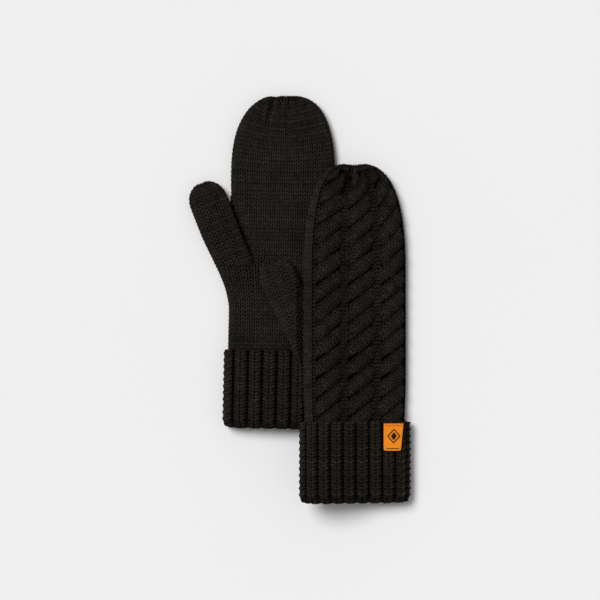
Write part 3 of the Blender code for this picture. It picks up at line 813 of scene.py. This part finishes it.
LEFT = Mitten("left", hand=(0.0110, 0.0025, 0.075), shape=(0.0, 0.022, 0.0012, (-0.0070, 0.0030, 0.0011)),
              creases=[((-0.0090, 0.2640), (-0.0140, 0.2440), 0.0020, 0.0034)],
              ribs=17, groove=-0.0017)
RIGHT = Mitten("right", hand=(0.0135, 0.0030, 0.095), shape=(0.026, 0.0, 0.0, (-0.0020, 0.0060, 0.0006)),
               creases=[((-0.0030, 0.2720), (-0.0030, 0.2560), 0.0026, 0.0044),
                        ((-0.0030, 0.2590), (-0.0160, 0.2330), 0.0036, 0.0046)],
               ribs=19, groove=0.0016)


# ---------------------------------------------------------------- the pieces

def dress(piece, mitten, nodes):
    """Hides the CAD nodes that a piece stands for, and gives the piece back."""
    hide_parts(*[f"{mitten.name}_{node_name}" for node_name in nodes])
    return piece


def bend_at_fold(piece, mitten):
    """Bakes the piece's transform; the two ends of a short way round the fold line are worked out but not
    used.
    """
    reach = 0.009
    start = mitten.world(np.array([0.0, mitten.fold - reach, 0.005]))
    end = mitten.world(np.array([0.0, mitten.fold + reach, 0.005]))
    start[2] = end[2] = 0.01
    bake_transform(piece)


def backing_rows(mitten, first):
    """Heights of the backing's rows, closer together towards the tip."""
    hand = mitten.hand
    return np.concatenate((np.linspace(first, hand.turn_start, 24, endpoint=False),
                           np.linspace(hand.turn_start, hand.last - 0.001, 34)))


def make_plain_face(mitten, name, over, nodes):
    """One plain face of a hand, edge to edge, from inside the cuff to the tip."""
    hand = mitten.hand
    knit = Knit()
    start = 0.0 if over else hand.face
    first = mitten.cuff_top - UNDER_CUFF
    width = hand.face / FACE_WALES
    plain_rows(knit, mitten.hand_surface, first, hand.last, start, width, FACE_WALES, HAND_ROW)
    around = np.linspace(start, start + hand.face, BACKING_COLUMNS)
    knit.backing(mitten.hand_surface, around, backing_rows(mitten, first))
    piece = knit.make(name, KNIT_WOOL)
    bend_at_fold(dress(piece, mitten, nodes), mitten)
    return piece


def make_cable_face(mitten, name, over, nodes):
    """The cabled face of a hand: plain strip, then three ropes between sunken purl wales."""
    hand = mitten.hand
    knit = Knit()
    side = 1.0 if over else -1.0
    start = 0.0 if over else 2.0 * hand.face
    sunk = 0.0 if over else 0.0024
    first = mitten.cuff_top - UNDER_CUFF
    last = hand.last - 0.006
    strip = PLAIN_WALES * PLAIN_WIDTH
    plain_rows(knit, mitten.hand_surface, first, last, start if over else start - strip,
               PLAIN_WIDTH, PLAIN_WALES, HAND_ROW)
    for index in range(ROPES):
        middle = FIRST_ROPE + ROPE_PITCH * index
        purl_columns(knit, mitten.hand_surface, first, last, start + side * (middle - ROPE_PITCH / 2.0))
        rope(knit, mitten.hand_surface, first, last, start + side * middle, side, sunk)
    edge = 0.0 if over else hand.face
    plain_rows(knit, mitten.hand_surface, last - 0.001, hand.last, edge,
               hand.face / FACE_WALES, FACE_WALES, HAND_ROW)
    around = np.linspace(edge, edge + hand.face, BACKING_COLUMNS)
    knit.backing(mitten.hand_surface, around, backing_rows(mitten, first), depth=-INSET - 0.0019)
    piece = knit.make(name, KNIT_WOOL)
    bend_at_fold(dress(piece, mitten, nodes), mitten)
    return piece


def make_thumb(mitten):
    """The thumb's knit; the two ends of a short way up from its base are worked out but not used."""
    thumb = mitten.thumb
    knit = Knit()
    first = -0.004 if mitten.name == "left" else -0.010
    width = 2.0 * thumb.face / THUMB_WALES
    plain_rows(knit, mitten.thumb_surface, first, thumb.last, 0.0, width, THUMB_WALES, HAND_ROW)
    rows = np.concatenate((np.linspace(first, thumb.turn_start, 16, endpoint=False),
                           np.linspace(thumb.turn_start, thumb.last - 0.0006, 18)))
    knit.backing(mitten.thumb_surface, np.linspace(0.0, 2.0 * thumb.face, 41), rows)
    piece = knit.make(mitten.name + "_thumb_knit", KNIT_WOOL)
    dress(piece, mitten, ["thumb_palm", "thumb_back", "thumb_rim"])
    base = 0.006 if mitten.name == "left" else -0.006
    ends = [turned(mitten.in_thumb(np.array([0.0, y, 0.0])), mitten.turn) + mitten.origin
            for y in (base, base + 0.018)]
    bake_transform(piece)
    return piece


def make_cuffs(mitten):
    """The turned-up layer with its folded edge, and the layer inside it."""
    cuff = mitten.cuff
    knit = Knit()
    turned_in = cuff.low - FOLD_RADIUS * (math.pi - 1.0) - 0.006
    around = 2.0 * cuff.face
    rib_rows(knit, mitten.cuff_surface, turned_in, cuff.top + 0.0015, around, mitten.ribs, mitten.groove)
    rows = np.concatenate((np.linspace(turned_in, cuff.low + FOLD_RADIUS, 14, endpoint=False),
                           np.linspace(cuff.low + FOLD_RADIUS, cuff.top + 0.003, 22)))
    deep = np.where(rows < cuff.low + FOLD_RADIUS + 0.003, -FOLD_DEPTH, -RIB_INSET - 0.0013)
    knit.backing(mitten.cuff_surface, np.linspace(0.0, around, 81), rows, depth=deep)
    piece = knit.make(mitten.name + "_turned_up_rib", RIB_WOOL)
    dress(piece, mitten, ["turned_up_cuff", "cuff_fold"])
    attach(piece, mitten.name + "_cuff")
    inner = Knit()
    rib_rows(inner, mitten.inner_surface, 0.006, cuff.top, around, mitten.ribs, mitten.groove, 0.5)
    rows = np.linspace(0.003, cuff.top + 0.001, 20)
    inner.backing(mitten.inner_surface, np.linspace(0.0, around, 81), rows, depth=-RIB_INSET - 0.0010)
    piece = inner.make(mitten.name + "_inner_rib", RIB_WOOL)
    dress(piece, mitten, ["inner_cuff"])
    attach(piece, mitten.name + "_hand")


def make_knot(mitten, node_name, body, radius):
    """The drawn-in end of the yarn at a tip: a few turns wound on one another."""
    knit = Knit()
    leaning = mitten.thumb_angle if "thumb" in body else 0.0
    back = turned(np.array([0.0, -0.0018, 0.0]), mitten.turn + leaning)
    middle = centre(f"{mitten.name}_{node_name}") + back
    t = np.linspace(0.0, 1.0, 90)
    angle = 2.0 * math.pi * 4.0 * t
    tilt = np.sin(2.0 * math.pi * 1.3 * t)
    path = np.stack((np.cos(angle), 0.45 * tilt, np.sin(angle)), axis=-1) * radius
    outward = path / np.linalg.norm(path, axis=-1, keepdims=True)
    grid = middle + ringed(path, outward, YARN * 0.8, SIDES)
    knit.add(grid[None], run_lengths(path[None]), 0.42, closed=True)
    piece = knit.make(f"{mitten.name}_{node_name}_yarn", KNIT_WOOL)
    dress(piece, mitten, [node_name])
    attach(piece, body)


EDGES = ["side_seam", "wrist_edge", "index_edge"]
make_plain_face(LEFT, "left_palm_knit", True, ["palm_panel", "finger_palm", "finger_rim", *EDGES])
make_cable_face(LEFT, "left_back_cables", False, ["back_panel", "finger_back"])
make_cable_face(RIGHT, "right_back_cables", True, ["back_panel", "finger_back", "finger_rim", *EDGES])
make_plain_face(RIGHT, "right_palm_knit", False, ["palm_panel", "finger_palm"])
for mitten in (LEFT, RIGHT):
    make_thumb(mitten)
    make_cuffs(mitten)
    make_knot(mitten, "tip_gather", mitten.name + "_fingers", 0.0013)
    make_knot(mitten, "thumb_gather", mitten.name + "_thumb", 0.0011)


# ---------------------------------------------------------------- the label

WARP_SCALE, WEFT_SCALE = 480.0, 640.0


def damask_group():
    """Damask: fine warp and weft, with paler raised threads."""
    group = cloth_group("damask_weave")
    entry = group.nodes.new("NodeGroupInput")
    exit_node = group.nodes.new("NodeGroupOutput")
    where = group.nodes.new("ShaderNodeTexCoord").outputs["Object"]
    bands = [node(group, "ShaderNodeTexWave", {"Vector": where},
                  {"Scale": scale, "Distortion": 0.6, "Detail": 1.0}, bands_direction=way).outputs["Fac"]
             for way, scale in (("X", WARP_SCALE), ("Y", WEFT_SCALE))]
    weave = maths(group, "MULTIPLY", *bands)
    drift = noise(group, 300.0, 2.0)
    share = maths(group, "ADD", maths(group, "MULTIPLY", weave, 0.7), maths(group, "MULTIPLY", drift, 0.4),
                  clamp=True)
    rough = maths(group, "ADD", maths(group, "MULTIPLY", weave, -0.2), 0.68)
    colour = mix(group, share, entry.outputs["Dark"], entry.outputs["Pale"])
    group.links.new(colour, exit_node.inputs["Colour"])
    group.links.new(rough, exit_node.inputs["Roughness"])
    group.links.new(weave, exit_node.inputs["Height"])
    return group


def woven(name, dark, pale):
    """One colour of the label's damask."""
    return cloth(name, DAMASK, dark, pale, (0.6, 0.0002), 0.15)[0]


DAMASK = damask_group()
LABEL_DAMASK = woven("label_damask", (0.76, 0.20, 0.006), (0.95, 0.31, 0.012))
LABEL_THREAD = woven("label_thread", (0.70, 0.19, 0.008), (0.85, 0.27, 0.012))
MOTIF_THREAD = woven("motif_thread", (0.012, 0.008, 0.006), (0.030, 0.018, 0.010))

LABEL_WIDTH = 0.0155
LABEL_LENGTH = 0.0214
LABEL_LEAN = math.radians(-2.5)
LABEL_TAPER = 0.12            # how much narrower the loose end is, over its half width
LABEL_PLACE = 0.0307          # across from the cuff's middle
LABEL_TOP = 0.0010            # below the cuff's upper rim
LABEL_OUT = 0.0007            # over the cuff's face


def on_label(across, down, out):
    """Points on the label: across from its middle, down from its upper end, out of its face."""
    narrow = 1.0 - LABEL_TAPER * down / LABEL_LENGTH
    x = LABEL_PLACE + across * narrow + down * math.sin(LABEL_LEAN)
    around = RIGHT.cuff.arc + RIGHT.cuff.flat + x
    up = RIGHT.cuff_top - LABEL_TOP - down
    settle = 0.00030 * np.sin(across / 0.0033 + 0.6) * smooth(down, 0.002, 0.010)
    lifted = 0.0008 * smooth(down, 0.012, LABEL_LENGTH) * smooth(across, 0.0, LABEL_WIDTH / 2.0)
    flat_up = np.minimum(up, RIGHT.cuff.top - 0.0002)
    middle, outward, _ = on_surface(RIGHT.cuff_surface, around, flat_up, np.zeros(np.shape(around)))
    points = middle + outward * (out + LABEL_OUT + settle + lifted)[..., None]
    points[..., 1] += up - flat_up
    return points


def make_label():
    """A woven label: two faces and its four edges, sewn down at the upper end."""
    knit = Knit()
    columns, rows = 26, 38
    u = np.linspace(-0.5, 0.5, columns)
    v = np.linspace(0.0, 1.0, rows)
    c, d = np.meshgrid(u * LABEL_WIDTH, v * LABEL_LENGTH, indexing="ij")
    corner = 0.0009 * (np.abs(c) / (LABEL_WIDTH / 2.0)) ** 8 * smooth(d, 0.018, LABEL_LENGTH)
    d = d - corner
    thick = 0.00045
    upper = on_label(c, d, np.full(c.shape, thick))
    lower = on_label(c, d, np.zeros(c.shape))
    span = np.broadcast_to(u * LABEL_WIDTH, (1, columns))
    knit.add(upper[None, :, ::-1], span, 0.5, closed=False)
    knit.add(lower[None], span, 0.5, closed=False)
    for edge_upper, edge_lower in ((upper[:, -1], lower[:, -1]), (upper[::-1, 0], lower[::-1, 0]),
                                   (upper[0], lower[0]), (upper[::-1, ::-1][0], lower[::-1, ::-1][0])):
        rim = np.stack((edge_upper, edge_lower), axis=1)
        knit.add(rim[None], np.zeros((1, len(rim))), 0.5, closed=False)
    label = knit.make("woven_label", LABEL_DAMASK)
    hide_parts("right_label")
    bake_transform(label)
    return label


def thread_run(knit, points, radius, sides=5):
    """Short threads, each given by its points (k, n, 3)."""
    grid = ringed(points, np.array([0.0, 0.0, 1.0]), radius, sides)
    knit.add(grid, run_lengths(points), 0.5, closed=True)


def stitch_line(start, end, count, out):
    """Short raised stitches one after another along a line on the label, given across and down."""
    runs = []
    for index in range(count):
        share = (index + np.linspace(0.10, 0.90, 6)) / count
        across = start[0] + (end[0] - start[0]) * share
        down = start[1] + (end[1] - start[1]) * share
        bow = np.sin(np.linspace(0.0, math.pi, 6)) * 0.00022
        runs.append(on_label(across, down, out + bow))
    return runs


def make_motif():
    """A plain diamond, satin stitched in the middle, over an even row of running stitches."""
    knit = Knit()
    out = 0.00042
    aside, middle = 0.0006, 0.0098
    wide, tall = 0.0050, 0.0054
    corners = [(aside, middle - tall), (aside + wide, middle),
               (aside, middle + tall), (aside - wide, middle)]
    runs = []
    for start, end in zip(corners, corners[1:] + corners[:1]):
        runs += stitch_line(start, end, 6, out)
    for step in (-3.0, -2.0, -1.0, 0.0, 1.0, 2.0, 3.0):
        half = 0.0030 * (1.0 - abs(step) / 4.0)
        down = middle + 0.0008 * step
        runs += stitch_line((aside - half, down), (aside + half, down), 1, out)
    for place in np.linspace(-0.0052, 0.0046, 8):
        runs += stitch_line((place, 0.0197), (place + 0.0008, 0.0197), 1, out)
    thread_run(knit, np.array(runs), 0.00042)
    motif = knit.make("label_motif", MOTIF_THREAD)
    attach(motif, "right_label")
    return motif


def make_label_stitching():
    """The row of stitches that holds the label's upper end."""
    knit = Knit()
    reach = LABEL_WIDTH / 2.0 - 0.0006
    runs = stitch_line((-reach, 0.0011), (reach, 0.0011), 9, 0.0007)
    thread_run(knit, np.array(runs), 0.00030)
    columns = 24
    c, d = np.meshgrid(np.linspace(-0.5, 0.5, columns) * LABEL_WIDTH, np.linspace(-0.0002, 0.0018, 5),
                       indexing="ij")
    band = on_label(c, d, 0.0007 - 0.25 * np.abs(d - 0.0008))
    knit.add(band[None, :, ::-1], np.zeros((1, columns)), 0.5, closed=False)
    stitching = knit.make("label_stitching", LABEL_THREAD)
    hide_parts("right_label_stitching")
    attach(stitching, "right_cuff")


label = make_label()
motif = make_motif()
make_label_stitching()


# ---------------------------------------------------------------- studio

FILL = 0.35                   # strength of the light from all round
KEY = 2.70
KEY_SIZE = math.radians(30.0)
KEY_FROM = (-0.42, 0.34, 0.85)
VIEW_WIDTH = 0.480            # of the table top
VIEW_MIDDLE = (-0.0006, -0.0004)


def make_floor():
    """A plain pale table top."""
    bpy.ops.mesh.primitive_grid_add(x_subdivisions=2, y_subdivisions=2, size=6.0, location=(0.0, 0.0, 0.0))
    floor = bpy.context.object
    floor.name = "pale_floor"
    material, tree, shader = principled("pale_floor")
    shade = mix(tree, noise(tree, 3.0), (0.80, 0.80, 0.80), (0.815, 0.815, 0.815))
    tree.links.new(shade, shader.inputs["Base Color"])
    shader.inputs["Roughness"].default_value = 0.9
    shader.inputs["Specular IOR Level"].default_value = 0.1
    floor.data.materials.append(material)


def make_studio():
    """Even light from all round, with a broad key nearly overhead from the upper left."""
    scene = bpy.context.scene
    world = bpy.data.worlds.new("studio")
    world.use_nodes = True
    world.node_tree.nodes["Background"].inputs["Color"].default_value = (1.0, 1.0, 1.0, 1.0)
    world.node_tree.nodes["Background"].inputs["Strength"].default_value = FILL
    scene.world = world
    data = bpy.data.lights.new("key", "SUN")
    data.energy = KEY
    data.angle = KEY_SIZE
    lamp = bpy.data.objects.new("key", data)
    lamp.location = KEY_FROM
    lamp.rotation_euler = Vector(KEY_FROM).to_track_quat("Z", "Y").to_euler()
    scene.collection.objects.link(lamp)
    scene.view_settings.view_transform = "Standard"


def make_camera():
    """Straight down, with a long lens."""
    data = bpy.data.cameras.new("camera")
    data.lens = 300.0
    data.sensor_width = 36.0
    camera = bpy.data.objects.new("camera", data)
    distance = VIEW_WIDTH * data.lens / data.sensor_width
    camera.location = (*VIEW_MIDDLE, distance)
    data.clip_end = 20.0
    bpy.context.scene.collection.objects.link(camera)
    bpy.context.scene.camera = camera


make_floor()
make_studio()
make_camera()
